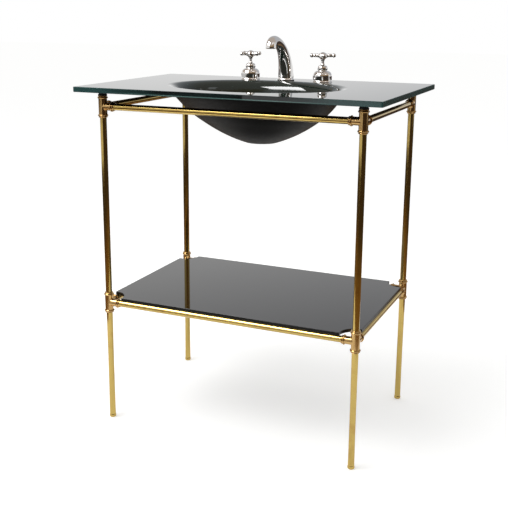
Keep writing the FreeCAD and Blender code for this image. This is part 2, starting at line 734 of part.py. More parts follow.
os.makedirs("parts", exist_ok=True)
for node, shape in all_parts().items():
    if not shape.isValid():
        raise ValueError("not a valid solid: " + node)
    shape.exportStep("parts/" + node + ".step")
    print(node, len(shape.Solids), round(shape.Volume / 1000, 2), "cm3")
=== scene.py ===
"""Looks and stage of a console sink: dark slumped glass on brass tubes, with a chromed tap set."""
import math

import bmesh
import bpy
from mathutils import Matrix, Vector


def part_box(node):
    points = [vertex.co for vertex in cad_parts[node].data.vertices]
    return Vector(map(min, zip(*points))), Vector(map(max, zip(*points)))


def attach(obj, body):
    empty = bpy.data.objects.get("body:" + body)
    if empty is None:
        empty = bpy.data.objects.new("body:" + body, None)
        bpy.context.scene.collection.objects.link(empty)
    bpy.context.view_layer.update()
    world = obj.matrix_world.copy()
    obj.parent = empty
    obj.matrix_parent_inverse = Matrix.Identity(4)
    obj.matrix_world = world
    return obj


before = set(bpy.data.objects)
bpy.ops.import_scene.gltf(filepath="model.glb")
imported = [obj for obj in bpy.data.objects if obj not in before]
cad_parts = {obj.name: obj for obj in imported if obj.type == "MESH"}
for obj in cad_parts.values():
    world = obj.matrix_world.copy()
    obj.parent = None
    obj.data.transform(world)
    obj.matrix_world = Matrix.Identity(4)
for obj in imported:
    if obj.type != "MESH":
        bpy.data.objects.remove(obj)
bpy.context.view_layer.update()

bl_info = {
    "name": "Console Sink Looks",
    "version": (1, 0, 0),
    "blender": (4, 5, 0),
    "location": "View3D > Sidebar > Console Sink",
    "description": "Finishes, threads and stage for a glass console sink on a brass frame",
    "category": "Object",
}

MM = 0.001
CORNERS = ("front_left", "front_right", "rear_left", "rear_right")
LEVELS = ("upper", "lower")
SIDES = ("left", "right")
X_AXIS, Y_AXIS, Z_AXIS = range(3)

GLASS_THICK = 12.7 * MM
EDGE_BAND = 1.4 * MM                # the top's sides and ground arrises lie within this of its outline
GLASS_IOR = 1.52
SPOUT_SHANK_R = 13.0 * MM
VALVE_SHANK_R = 13.5 * MM
VALVE_THREAD = 13.0 * MM            # how far the thread goes on below the lock nut
INLET_R = 10.475 * MM               # half-inch pipe
INLET_THREAD = (1.8 * MM, 16.0 * MM)    # where its thread starts and ends, from the mouth up

# the set that polished metal and glass mirror: radii and heights in metres, about the middle of the floor
CARD_LIFT = 0.004                   # cards on the floor lie this far above it
PALE_FLOOR_R = 1.1
NEAR_FLOOR_R = 4.2
WALL_R = 6.5
WALL_TOP = 4.2
SET_R = 7.0
CEILING = 5.0
HORIZON_R = 14.0
RIGHT_FRONT = (0.73, -0.68, 0)      # where the far room lies
BASIN = (0, 0.13, 0.85)             # what the softbox and the window face
SOFTBOX_PLACE = (-1.36, -1.54, 2.60)
SOFTBOX_SIZE = (1.9, 1.5)

FLOOR_LIFT = 0.32                   # what the lamps leave the floor short of white
SENSOR = 36                         # mm
LENS_SHIFT = (0.0129, -0.0632)      # the photo's middle lies off the lens's axis


def linear(hex_colour):
    """Linear RGBA of an sRGB hex colour."""
    channels = [int(hex_colour[i:i + 2], 16) / 255 for i in (1, 3, 5)]
    return tuple([c / 12.92 if c <= 0.04045 else ((c + 0.055) / 1.055) ** 2.4 for c in channels] + [1.0])


WHITE = linear("#FFFFFF")


def colour_property(name, description, hex_colour):
    """A colour that a user can change, from its sRGB hex value."""
    return bpy.props.FloatVectorProperty(name=name, description=description, subtype="COLOR", size=4,
                                         min=0.0, max=1.0, default=linear(hex_colour))


# ---------------------------------------------------------------- settings
class FinishSettings(bpy.types.PropertyGroup):
    """Colours of the sink's finishes, and of the painted shade on the glass's edge"""
    tube_brass: colour_property("Tube brass", "Colour of the drawn and polished tubes", "#B89E58")
    cast_brass: colour_property("Cast brass", "Colour of the polished tee castings", "#B99862")
    tarnish: colour_property("Tarnish", "Colour that brass turns to where polish has thinned", "#8A5A28")
    machined_brass: colour_property("Machined brass", "Colour of turned brass under the deck", "#B59A55")
    copper: colour_property("Pipe copper", "Colour of the crossover pipes", "#B9704A")
    chrome: colour_property("Chrome", "Colour of the plated taps", "#DEDDDC")
    gilt: colour_property("Gilt ring", "Colour of the ring in the spout's mouth", "#C9A668")
    steel: colour_property("Steel", "Colour of washers and screws", "#A9AAAC")
    rubber: colour_property("Rubber", "Colour of bumpers and gasket", "#1A1919")
    glass_body: colour_property("Glass body", "Colour deep in the polished glass", "#17231F")
    glass_edge: colour_property("Glass edge", "Colour that the glass shows through its edge", "#264140")
    # painted shade: the dark basin as seen through the glass, painted into the edge's colour in front of it
    glass_edge_painted_shade: colour_property("Glass edge, dark", "Edge colour in front of the basin", "#0A0F10")
    backing: colour_property("Backing", "Colour of the paint under the glass", "#080707")
    shelf_glass: colour_property("Shelf glass", "Colour of the smoked shelf", "#0B0A0A")


class ThreadSettings(bpy.types.PropertyGroup):
    """Form of the cut threads"""
    pitch: bpy.props.FloatProperty(name="Pitch", description="Distance from crest to crest",
                                   default=1.6 * MM, min=0.5 * MM, max=4 * MM, unit="LENGTH")
    height: bpy.props.FloatProperty(name="Height", description="How far a crest stands above the shank",
                                    default=0.35 * MM, min=0.1 * MM, max=1 * MM, unit="LENGTH")
    facets: bpy.props.IntProperty(name="Facets", description="Steps round a thread",
                                  default=48, min=16, max=128)


class StageSettings(bpy.types.PropertyGroup):
    """Floor, mirrored room, lights and camera"""
    floor_size: bpy.props.FloatProperty(name="Floor size", description="Side of the floor",
                                        default=40.0, min=4.0, max=100.0, unit="LENGTH")
    floor_colour: colour_property("Floor", "Colour of the plain floor", "#F7F7F6")
    floor_beyond: colour_property("Floor beyond", "Colour mirrored past the pale floor", "#8E6E47")
    room_colour: colour_property("Room", "Colour of the mirrored far room", "#4A3E38")
    ceiling_colour: colour_property("Ceiling", "Colour of the mirrored ceiling", "#C4B8AE")
    softbox: bpy.props.FloatProperty(name="Softbox", description="Brightness of the mirrored softbox",
                                     default=20.0, min=0.0, max=50.0)
    world_light: bpy.props.FloatProperty(name="World light", description="Even light from all round",
                                         default=0.72, min=0.0, max=2.0)
    key_light: bpy.props.FloatProperty(name="Key light", description="Power of the light above the front",
                                       default=38.0, min=0.0, max=500.0, unit="POWER")
    fill_light: bpy.props.FloatProperty(name="Fill light", description="Power of the light on the left",
                                        default=14.0, min=0.0, max=500.0, unit="POWER")
    eye: bpy.props.FloatVectorProperty(name="Camera", description="Where the camera stands",
                                       subtype="TRANSLATION", unit="LENGTH", size=3,
                                       default=(0.8652, -2.0095, 1.0493))
    yaw: bpy.props.FloatProperty(name="Yaw", description="Turn of the camera to the left",
                                 subtype="ANGLE", default=0.41874)
    pitch: bpy.props.FloatProperty(name="Pitch", description="Tilt of the camera downwards",
                                   subtype="ANGLE", default=0.23826)
    roll: bpy.props.FloatProperty(name="Roll", description="Turn of the camera about its own axis",
                                  subtype="ANGLE", default=0.00587)
    lens: bpy.props.FloatProperty(name="Lens", description="Focal length",
                                  default=62.55, min=10.0, max=200.0, unit="CAMERA")


# ---------------------------------------------------------------- material helpers
def add_node(tree, kind, inputs=None, **settings):
    """Adds a node, sets its properties, then fills or links its inputs. A name finds the input that the
    settings leave in use; where several share a name, a number does. A node given as a value links its
    first output in use."""
    made = tree.nodes.new(kind)
    for key, value in settings.items():
        setattr(made, key, value)
    for name, value in (inputs or {}).items():
        named = [socket for socket in made.inputs if socket.enabled and socket.name == name]
        target = named[0] if named else made.inputs[name]
        if isinstance(value, bpy.types.Node):
            value = next(socket for socket in value.outputs if socket.enabled)
        if isinstance(value, bpy.types.NodeSocket):
            tree.links.new(value, target)
        else:
            target.default_value = value
    return made


def start_material(name):
    """A new material and its node tree, emptied."""
    material = bpy.data.materials.new(name)
    material.use_nodes = True
    tree = material.node_tree
    tree.nodes.clear()
    return material, tree


def finish_material(material, tree, inputs):
    """Closes a material with one principled shader."""
    shader = add_node(tree, "ShaderNodeBsdfPrincipled", inputs)
    add_node(tree, "ShaderNodeOutputMaterial", {"Surface": shader})
    return material


def grain(tree, size_mm, stretch=(1, 1, 1), detail=2.0, roughness=0.5):
    """Noise whose grains are about size_mm across, drawn out along an axis by a stretch."""
    where = add_node(tree, "ShaderNodeTexCoord")
    scaled = add_node(tree, "ShaderNodeMapping", {"Vector": where.outputs["Object"],
                                                  "Scale": [1 / s for s in stretch]})
    return add_node(tree, "ShaderNodeTexNoise", {"Vector": scaled, "Scale": 1 / (size_mm * MM),
                                                 "Detail": detail, "Roughness": roughness})


# ---------------------------------------------------------------- materials
def polished_brass(name, colour, tarnish, axis=None, cast=False):
    """Brass, polished and lacquered. Tubes keep fine draw lines along their length, castings a faint
    grain under the polish, and both go browner in patches where the polish has thinned. Lines and grain
    are drawn coarser than they are, so that they show."""
    material, tree = start_material(name)
    patches = grain(tree, 42, detail=4.0, roughness=0.6)
    if cast:
        relief = add_node(tree, "ShaderNodeBump", {"Height": grain(tree, 0.9), "Distance": 0.02 * MM,
                                                   "Strength": 0.2})
        smoothest, dullest = 0.12, 0.18
    else:
        lines = grain(tree, 0.7, [60 if k == axis else 1 for k in (X_AXIS, Y_AXIS, Z_AXIS)])
        relief = add_node(tree, "ShaderNodeBump", {"Height": lines, "Distance": 0.004 * MM,
                                                   "Strength": 0.15})
        smoothest, dullest = 0.09, 0.14
    rough = add_node(tree, "ShaderNodeMapRange", {"Value": patches, "From Min": 0.35, "From Max": 0.7,
                                                  "To Min": smoothest, "To Max": dullest})
    thinned = add_node(tree, "ShaderNodeMapRange", {"Value": patches, "From Min": 0.48, "From Max": 0.78,
                                                    "To Max": 0.45})
    tone = add_node(tree, "ShaderNodeMix", {"Factor": thinned, "A": colour, "B": tarnish}, data_type="RGBA")
    return finish_material(material, tree, {
        "Base Color": tone,
        "Metallic": 1.0,
        "Roughness": rough,
        "Coat Weight": 0.25,
        "Coat Roughness": 0.06,
        "Normal": relief,
    })


def chrome_plate(name, colour):
    """Bright chromium over brass: a near mirror with the faintest wipe marks, warmer where it is thin."""
    material, tree = start_material(name)
    haze = add_node(tree, "ShaderNodeMapRange", {"Value": grain(tree, 6, (1, 1, 3), detail=3.0),
                                                 "From Min": 0.4, "From Max": 0.75,
                                                 "To Min": 0.035, "To Max": 0.085})
    thin = add_node(tree, "ShaderNodeMapRange", {"Value": grain(tree, 30), "From Min": 0.4, "From Max": 0.7,
                                                 "To Max": 0.12})
    tone = add_node(tree, "ShaderNodeMix", {"Factor": thin, "A": colour, "B": linear("#C9B79A")},
                    data_type="RGBA")
    return finish_material(material, tree, {"Base Color": tone, "Metallic": 1.0, "Roughness": haze})


def turned_metal(name, colour, groove_mm, smoothest, dullest):
    """Metal left as it came from the lathe: fine grooves round the axis, one above the other, drawn
    coarser than they are so that they show, and a few brown stains. At scale 1 the wave's bands repeat
    every tau / 20."""
    material, tree = start_material(name)
    where = add_node(tree, "ShaderNodeTexCoord")
    grooves = add_node(tree, "ShaderNodeTexWave", {"Vector": where.outputs["Object"],
                                                   "Scale": math.tau / (20 * groove_mm * MM),
                                                   "Distortion": 0.4, "Detail": 1.0},
                       bands_direction="Z")
    stains = grain(tree, 14, detail=3.0)
    share = add_node(tree, "ShaderNodeMapRange", {"Value": stains, "From Min": 0.45, "From Max": 0.75,
                                                  "To Max": 0.35})
    tone = add_node(tree, "ShaderNodeMix", {"Factor": share, "A": colour, "B": linear("#6B4F2A")},
                    data_type="RGBA")
    rough = add_node(tree, "ShaderNodeMapRange", {"Value": stains, "From Min": 0.3, "From Max": 0.7,
                                                  "To Min": smoothest, "To Max": dullest})
    relief = add_node(tree, "ShaderNodeBump", {"Height": grooves.outputs["Fac"], "Distance": 0.03 * MM,
                                               "Strength": 0.4})
    return finish_material(material, tree, {"Base Color": tone, "Metallic": 1.0, "Roughness": rough,
                                            "Normal": relief})


def black_rubber(name, colour):
    """Moulded rubber: dull, with a fine matt skin and a bloom of dust."""
    material, tree = start_material(name)
    skin = grain(tree, 0.5, detail=3.0)
    dust = add_node(tree, "ShaderNodeMapRange", {"Value": grain(tree, 7, detail=3.0),
                                                 "From Min": 0.5, "From Max": 0.8, "To Max": 0.25})
    tone = add_node(tree, "ShaderNodeMix", {"Factor": dust, "A": colour, "B": linear("#3B3937")},
                    data_type="RGBA")
    rough = add_node(tree, "ShaderNodeMapRange", {"Value": skin, "From Min": 0.3, "From Max": 0.7,
                                                  "To Min": 0.55, "To Max": 0.75})
    relief = add_node(tree, "ShaderNodeBump", {"Height": skin, "Distance": 0.03 * MM, "Strength": 0.5})
    return finish_material(material, tree, {"Base Color": tone, "Roughness": rough, "Normal": relief})


def glass_places(tree):
    """Masks over the top: its edge band, its dull arrises and its painted underside. Then how far up the
    sheet a point lies, from 0 to 1, and how far sideways of the middle."""
    low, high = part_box("glass_top")
    where = add_node(tree, "ShaderNodeTexCoord")
    place = add_node(tree, "ShaderNodeSeparateXYZ", {"Vector": where.outputs["Object"]})
    facing = add_node(tree, "ShaderNodeSeparateXYZ", {"Vector": where.outputs["Normal"]})
    sideways = add_node(tree, "ShaderNodeMath", {0: place.outputs["X"]}, operation="ABSOLUTE")
    endways = add_node(tree, "ShaderNodeMath", {0: place.outputs["Y"]}, operation="ABSOLUTE")
    past = [add_node(tree, "ShaderNodeMath", {0: reach, 1: (high[axis] - low[axis]) / 2 - EDGE_BAND},
                     operation="SUBTRACT") for axis, reach in ((X_AXIS, sideways), (Y_AXIS, endways))]
    furthest = add_node(tree, "ShaderNodeMath", {0: past[0], 1: past[1]}, operation="MAXIMUM")
    at_edge = add_node(tree, "ShaderNodeMath", {0: furthest, 1: 0.0}, operation="GREATER_THAN")
    # the sides of the sheet stand upright, and the arrises between them and its faces lean
    tilt = add_node(tree, "ShaderNodeMath", {0: facing.outputs["Z"]}, operation="ABSOLUTE")
    slanted = add_node(tree, "ShaderNodeMath", {0: tilt, 1: 0.3}, operation="GREATER_THAN")
    arris = add_node(tree, "ShaderNodeMath", {0: at_edge, 1: slanted}, operation="MULTIPLY")
    faces_down = add_node(tree, "ShaderNodeMath", {0: facing.outputs["Z"], 1: -0.02}, operation="LESS_THAN")
    inside = add_node(tree, "ShaderNodeMath", {0: 1.0, 1: at_edge}, operation="SUBTRACT")
    painted = add_node(tree, "ShaderNodeMath", {0: faces_down, 1: inside}, operation="MULTIPLY")
    rise = add_node(tree, "ShaderNodeMapRange", {"Value": place.outputs["Z"], "From Max": high[2],
                                                 "From Min": high[2] - GLASS_THICK})
    return at_edge, arris, painted, rise, sideways


def slumped_glass(name, looks):
    """Thick float glass, fire-polished on top, painted dark underneath. From above it is a black mirror.
    Its polished edge shows the glass's own green, with painted shade where the basin stands behind it and
    painted refraction, wavy dark bands and a pale stripe, as seen through the glass; the ground arrises
    round the edge are dull."""
    material, tree = start_material(name)
    at_edge, arris, painted, rise, sideways = glass_places(tree)
    # the edge: painted shade in front of the basin, where the dark basin shows through the glass, wavy
    # bands of painted refraction all along it, and a pale stripe of painted refraction low down in front of
    # the basin
    middle = add_node(tree, "ShaderNodeMapRange", {"Value": sideways, "From Min": 0.14, "From Max": 0.30,
                                                   "To Min": 1.0, "To Max": 0.0})
    shade = add_node(tree, "ShaderNodeMath", {0: middle, 1: 0.85}, operation="MULTIPLY")
    # painted refraction: wavy bands that darken the edge all along, as the curved basin bends what shows
    # through
    painted_refraction_ripple = add_node(tree, "ShaderNodeMapRange", {"Value": grain(tree, 60, (3, 3, 0.2)),
                                                   "From Min": 0.4, "From Max": 0.7, "To Max": 0.4})
    shade = add_node(tree, "ShaderNodeMath", {0: shade, 1: painted_refraction_ripple}, operation="ADD")
    shade = add_node(tree, "ShaderNodeMath", {0: shade, 1: 1.0}, operation="MINIMUM")
    # edge: the glass's own green with the painted shade mixed in
    edge = add_node(tree, "ShaderNodeMix", {"Factor": shade, "A": looks.glass_edge,
                                            "B": looks.glass_edge_painted_shade}, data_type="RGBA")
    # painted refraction light: a pale stripe low down in the edge, only in front of the basin
    off_painted_line = add_node(tree, "ShaderNodeMath", {0: rise, 1: 0.18}, operation="SUBTRACT")
    off_painted_line = add_node(tree, "ShaderNodeMath", {0: off_painted_line}, operation="ABSOLUTE")
    painted_refraction_line = add_node(tree, "ShaderNodeMapRange", {"Value": off_painted_line, "From Min": 0.03, "From Max": 0.12,
                                                 "To Min": 0.8, "To Max": 0.0})
    painted_refraction_line = add_node(tree, "ShaderNodeMath", {0: painted_refraction_line, 1: middle}, operation="MULTIPLY")
    # 587570 is the colour of the painted refraction stripe, so edge now holds painted shade and painted
    # light
    edge = add_node(tree, "ShaderNodeMix", {"Factor": painted_refraction_line, "A": edge, "B": linear("#587570")},
                    data_type="RGBA")
    # body: the glass's body colour, and on the edge band the edge's green with its painted shade and
    # painted light
    body = add_node(tree, "ShaderNodeMix", {"Factor": at_edge, "A": looks.glass_body, "B": edge},
                    data_type="RGBA")
    # the paint: two close tones, with the orange peel of a spray gun
    drift = add_node(tree, "ShaderNodeMapRange", {"Value": grain(tree, 90, detail=4.0),
                                                  "From Min": 0.4, "From Max": 0.7, "To Max": 0.5})
    paint = add_node(tree, "ShaderNodeMix", {"Factor": drift, "A": looks.backing, "B": linear("#0E0D0C")},
                     data_type="RGBA")
    orange_peel = grain(tree, 2.2, detail=1.0)
    relief = add_node(tree, "ShaderNodeMath", {0: orange_peel, 1: painted}, operation="MULTIPLY")
    # paint and arrises are dull and mirror next to nothing, and the rest is polished
    dull = add_node(tree, "ShaderNodeMath", {0: painted, 1: arris}, operation="MAXIMUM")
    dull_rough = add_node(tree, "ShaderNodeMapRange", {"Value": orange_peel, "From Min": 0.3,
                                                       "From Max": 0.7, "To Min": 0.5, "To Max": 0.62})
    polish = add_node(tree, "ShaderNodeMapRange", {"Value": grain(tree, 25, detail=3.0), "From Min": 0.4,
                                                   "From Max": 0.8, "To Min": 0.012, "To Max": 0.03})
    return finish_material(material, tree, {
        "Base Color": add_node(tree, "ShaderNodeMix", {"Factor": painted, "A": body, "B": paint},
                               data_type="RGBA"),
        "Roughness": add_node(tree, "ShaderNodeMix", {"Factor": dull, "A": polish, "B": dull_rough},
                              data_type="FLOAT"),
        "IOR": GLASS_IOR,
        "Specular Tint": add_node(tree, "ShaderNodeMix", {"Factor": dull, "A": WHITE,
                                                          "B": (0.06, 0.06, 0.06, 1)}, data_type="RGBA"),
        "Normal": add_node(tree, "ShaderNodeBump", {"Height": relief, "Distance": 0.06 * MM,
                                                    "Strength": 0.35}),
    })


def smoked_glass(name, colour):
    """Smoked plate glass with ground edges, so dark that its faces work as a mirror; a little dust dulls
    it in places."""
    material, tree = start_material(name)
    drifts = grain(tree, 120, detail=3.0)
    specks = add_node(tree, "ShaderNodeMapRange", {"Value": grain(tree, 1.2, detail=4.0, roughness=0.7),
                                                   "From Min": 0.5, "From Max": 0.75})
    settled = add_node(tree, "ShaderNodeMapRange", {"Value": drifts, "From Min": 0.35, "From Max": 0.7,
                                                    "To Max": 0.12})
    dust = add_node(tree, "ShaderNodeMath", {0: specks, 1: settled}, operation="MULTIPLY")
    # what leans by more than about 20 degrees is a ground edge
    where = add_node(tree, "ShaderNodeTexCoord")
    facing = add_node(tree, "ShaderNodeSeparateXYZ", {"Vector": where.outputs["Normal"]})
    tilt = add_node(tree, "ShaderNodeMath", {0: facing.outputs["Z"]}, operation="ABSOLUTE")
    ground = add_node(tree, "ShaderNodeMapRange", {"Value": tilt, "From Min": 0.90, "From Max": 0.97,
                                                   "To Min": 1.0, "To Max": 0.0})
    polish = add_node(tree, "ShaderNodeMapRange", {"Value": drifts, "From Min": 0.3, "From Max": 0.7,
                                                   "To Min": 0.02, "To Max": 0.05})
    return finish_material(material, tree, {
        "Base Color": add_node(tree, "ShaderNodeMix", {"Factor": dust, "A": colour,
                                                       "B": linear("#5A5650")}, data_type="RGBA"),
        "Roughness": add_node(tree, "ShaderNodeMix", {"Factor": ground, "A": polish, "B": 0.34},
                              data_type="FLOAT"),
        "Specular Tint": add_node(tree, "ShaderNodeMix", {"Factor": ground, "A": WHITE,
                                                          "B": (0.3, 0.3, 0.3, 1)}, data_type="RGBA"),
        "IOR": GLASS_IOR,
    })


# ---------------------------------------------------------------- pieces
def dress(nodes, material):
    """Gives CAD nodes one material."""
    for name in nodes:
        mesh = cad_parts[name].data
        mesh.materials.clear()
        mesh.materials.append(material)


def link_mesh(name, shape, material):
    """Makes an object of a finished bmesh, at the origin."""
    mesh = bpy.data.meshes.new(name)
    shape.to_mesh(mesh)
    shape.free()
    mesh.materials.append(material)
    made = bpy.data.objects.new(name, mesh)
    bpy.context.scene.collection.objects.link(made)
    return made


def cut_thread(shape, x, y, radius, bottom, top, settings):
    """Spins a ridge of triangular section up an upright shank."""
    sunk = 0.05 * MM
    half = settings.pitch * 0.42
    profile = [shape.verts.new((radius - sunk, 0, bottom - half)),
               shape.verts.new((radius + settings.height, 0, bottom)),
               shape.verts.new((radius - sunk, 0, bottom + half))]
    section = shape.faces.new(profile)
    steps = int((top - bottom) / settings.pitch * settings.facets)
    bmesh.ops.spin(shape, geom=[section] + section.edges[:] + profile, cent=(0, 0, 0), axis=(0, 0, 1),
                   dvec=(0, 0, settings.pitch / settings.facets),
                   angle=math.tau * steps / settings.facets, steps=steps, use_merge=False)
    new = [vert for vert in shape.verts if not vert.tag]
    bmesh.ops.translate(shape, verts=new, vec=(x, y, 0))
    for vert in new:
        vert.tag = True


def new_threads(name, shape, material):
    """Makes a piece of cut threads, which rides on the console."""
    bmesh.ops.recalc_face_normals(shape, faces=shape.faces[:])
    piece = link_mesh(name, shape, material)
    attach(piece, "console")


# ---------------------------------------------------------------- operators
class SINK_OT_tubes(bpy.types.Operator):
    """Finish legs, rails and feet in polished brass, drawn along each tube"""
    bl_idname = "console_sink.tubes"
    bl_label = "Tubes"

    def execute(self, context):
        looks = context.scene.sink_finish
        uprights = ("upper_leg_", "lower_leg_", "foot_")
        runs = {
            "upright": (Z_AXIS, [kind + corner for kind in uprights for corner in CORNERS]),
            "across": (X_AXIS, ["upper_rail_front", "lower_rail_front", "lower_rail_rear"]),
            "along": (Y_AXIS, [level + "_rail_" + side for level in LEVELS for side in SIDES]),
        }
        for way, (axis, nodes) in runs.items():
            name = "drawn_polished_brass_" + way
            dress(nodes, polished_brass(name, looks.tube_brass, looks.tarnish, axis))
        return {"FINISHED"}


class SINK_OT_tees(bpy.types.Operator):
    """Finish the tee castings in polished brass with a faint grain"""
    bl_idname = "console_sink.tees"
    bl_label = "Tees"

    def execute(self, context):
        looks = context.scene.sink_finish
        material = polished_brass("cast_polished_brass", looks.cast_brass, looks.tarnish, cast=True)
        dress([level + "_tee_" + corner for level in LEVELS for corner in CORNERS], material)
        return {"FINISHED"}


class SINK_OT_glass(bpy.types.Operator):
    """Finish the slumped top, the shelf and the rubber that carries the top"""
    bl_idname = "console_sink.glass"
    bl_label = "Glass"

    def execute(self, context):
        looks = context.scene.sink_finish
        dress(["glass_top"], slumped_glass("slumped_float_glass", looks))
        dress(["shelf"], smoked_glass("smoked_plate_glass", looks.shelf_glass))
        dress(["glass_bumpers", "spout_gasket"], black_rubber("moulded_rubber", looks.rubber))
        return {"FINISHED"}


class SINK_OT_taps(bpy.types.Operator):
    """Finish spout, bells, collars and handles in chrome, and the ring in the spout's mouth"""
    bl_idname = "console_sink.taps"
    bl_label = "Taps"

    def execute(self, context):
        looks = context.scene.sink_finish
        plated = ["spout_body"]
        for side in SIDES:
            plated += [side + "_" + part for part in ("bell", "collar", "handle", "index_cap")]
        dress(plated, chrome_plate("chromium_plate", looks.chrome))
        dress(["aerator"], turned_metal("gilt_turned_ring", looks.gilt, 0.9, 0.14, 0.22))
        return {"FINISHED"}


class SINK_OT_fittings(bpy.types.Operator):
    """Finish the brass, copper and steel under the deck"""
    bl_idname = "console_sink.fittings"
    bl_label = "Fittings"

    def execute(self, context):
        looks = context.scene.sink_finish
        turned = ["spout_nut", "spout_tee", "valve_top_nuts", "valve_lock_nuts", "crossover_nuts"]
        for side in SIDES:
            turned += [side + "_valve_body", side + "_cartridge", side + "_spindle"]
        dress(turned, turned_metal("turned_brass", looks.machined_brass, 1.1, 0.2, 0.34))
        steel = ["spout_washer", "valve_washers"] + [side + "_handle_screw" for side in SIDES]
        dress(steel, turned_metal("zinc_plated_steel", looks.steel, 0.8, 0.28, 0.42))
        copper = polished_brass("drawn_copper", looks.copper, linear("#5E3A2A"), X_AXIS)
        dress([side + "_crossover_tube" for side in SIDES], copper)
        return {"FINISHED"}


class SINK_OT_threads(bpy.types.Operator):
    """Cut the threads of shanks and inlets where they show under the deck"""
    bl_idname = "console_sink.threads"
    bl_label = "Threads"

    def execute(self, context):
        settings = context.scene.sink_threads
        brass = context.scene.sink_finish.machined_brass
        material = turned_metal("cut_brass_thread", brass, 0.8, 0.2, 0.34)
        clear = 1 * MM                      # between a thread's end and the next piece
        nut_low, nut_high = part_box("spout_nut")
        x, y = [(a + b) / 2 for a, b in zip(nut_low, nut_high)][:2]
        tee_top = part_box("spout_tee")[1][2]
        shape = bmesh.new()
        cut_thread(shape, x, y, SPOUT_SHANK_R, tee_top + clear, nut_low[2] - clear, settings)
        new_threads("spout_thread", shape, material)
        lock_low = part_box("valve_lock_nuts")[0][2]
        shape = bmesh.new()
        for side in SIDES:
            x, y = [(a + b) / 2 for a, b in zip(*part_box(side + "_bell"))][:2]
            body_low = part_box(side + "_valve_body")[0][2]
            start, end = [body_low + rise for rise in INLET_THREAD]
            cut_thread(shape, x, y, VALVE_SHANK_R, lock_low - VALVE_THREAD, lock_low - clear, settings)
            cut_thread(shape, x, y, INLET_R, start, end, settings)
        new_threads("valve_threads", shape, material)
        return {"FINISHED"}


# ---------------------------------------------------------------- stage
def hang_card(name, shape, material, mirrored_only=True):
    """Links part of the set. A card that is mirrored only shows in polished surfaces and nowhere else."""
    card = link_mesh(name, shape, material)
    if mirrored_only:
        card.visible_camera = False
        card.visible_diffuse = False
        card.visible_transmission = False
        card.visible_volume_scatter = False
        card.visible_shadow = False


def flat_card(width, depth, centre, aim=None):
    """A rectangle round a centre, level or turned to face a point."""
    shape = bmesh.new()
    turn = Matrix()
    if aim is not None:
        turn = (Vector(aim) - Vector(centre)).to_track_quat("Z", "Y").to_matrix().to_4x4()
    bmesh.ops.create_grid(shape, x_segments=1, y_segments=1, size=0.5,
                          matrix=Matrix.Translation(centre) @ turn @ Matrix.Diagonal((width, depth, 1, 1)))
    return shape


def round_card(start, end, angle=math.tau, first=0.0):
    """A band spun about the middle of the floor, from a radius and height to another."""
    shape = bmesh.new()
    turn = Matrix.Rotation(first, 3, "Z")
    ends = [shape.verts.new(turn @ Vector((radius, 0, height))) for radius, height in (start, end)]
    edge = shape.edges.new(ends)
    bmesh.ops.spin(shape, geom=ends + [edge], cent=(0, 0, 0), axis=(0, 0, 1), angle=angle, steps=64,
                   use_merge=angle == math.tau)
    bmesh.ops.recalc_face_normals(shape, faces=shape.faces[:])
    return shape


def unlit(name, colour, *fades):
    """A card's surface that shows its colour whatever light falls on it. Each fade leads to another colour
    from one distance to a second, along a direction, or out from the middle of the floor for None."""
    material, tree = start_material(name)
    where = add_node(tree, "ShaderNodeTexCoord").outputs["Object"]
    for other, along, start, end in fades:
        if along is None:
            reach = add_node(tree, "ShaderNodeVectorMath", {0: where}, operation="LENGTH")
        else:
            reach = add_node(tree, "ShaderNodeVectorMath", {0: where, 1: along}, operation="DOT_PRODUCT")
        share = add_node(tree, "ShaderNodeMapRange", {"Value": reach, "From Min": start, "From Max": end})
        colour = add_node(tree, "ShaderNodeMix", {"Factor": share, "A": colour, "B": other},
                          data_type="RGBA")
    glow = add_node(tree, "ShaderNodeEmission", {"Color": colour})
    add_node(tree, "ShaderNodeOutputMaterial", {"Surface": glow})
    return material


def seen_rays(tree):
    """One for rays from the camera, a mirror or clear glass, and nought for those that carry light only."""
    path = add_node(tree, "ShaderNodeLightPath")
    seen = path.outputs["Is Camera Ray"]
    for other in ("Is Glossy Ray", "Is Transmission Ray"):
        seen = add_node(tree, "ShaderNodeMath", {0: seen, 1: path.outputs[other]}, operation="MAXIMUM")
    return seen


def floor_finish(colour):
    """Plain matt floor, lifted to white where nothing shades it."""
    material, tree = start_material("matt_floor")
    strength = add_node(tree, "ShaderNodeMath", {0: seen_rays(tree), 1: FLOOR_LIFT}, operation="MULTIPLY")
    lift = add_node(tree, "ShaderNodeEmission", {"Color": WHITE, "Strength": strength})
    matt = add_node(tree, "ShaderNodeBsdfDiffuse", {"Color": colour})
    both = add_node(tree, "ShaderNodeAddShader", {0: matt.outputs["BSDF"], 1: lift.outputs["Emission"]})
    add_node(tree, "ShaderNodeOutputMaterial", {"Surface": both})
    return material


def soft_light(name, power, size, place, aim):
    """A softbox that lights the object but isn't itself mirrored."""
    data = bpy.data.lights.new(name, "AREA")
    data.shape = "RECTANGLE"
    data.energy = power
    data.size, data.size_y = size
    light = bpy.data.objects.new(name, data)
    bpy.context.scene.collection.objects.link(light)
    light.location = place
    light.rotation_euler = (Vector(aim) - Vector(place)).to_track_quat("-Z", "Y").to_euler()
    light.visible_camera = False
    light.visible_glossy = False


def hang_floor_cards(stage):
    """The brown floor past the pale one, as it is mirrored. Between its near ring and the horizon it stays
    pale at the front left."""
    beyond = unlit("unlit_floor_beyond", stage.floor_beyond, (stage.room_colour, None, 1.5, 2.5))
    hang_card("floor_beyond", round_card((PALE_FLOOR_R, CARD_LIFT), (NEAR_FLOOR_R, CARD_LIFT)), beyond)
    hang_card("floor_far", round_card((NEAR_FLOOR_R, CARD_LIFT), (SET_R, CARD_LIFT),
                                      math.radians(250), math.radians(270)), beyond)
    hang_card("floor_horizon", round_card((SET_R, CARD_LIFT), (HORIZON_R, CARD_LIFT)), beyond)


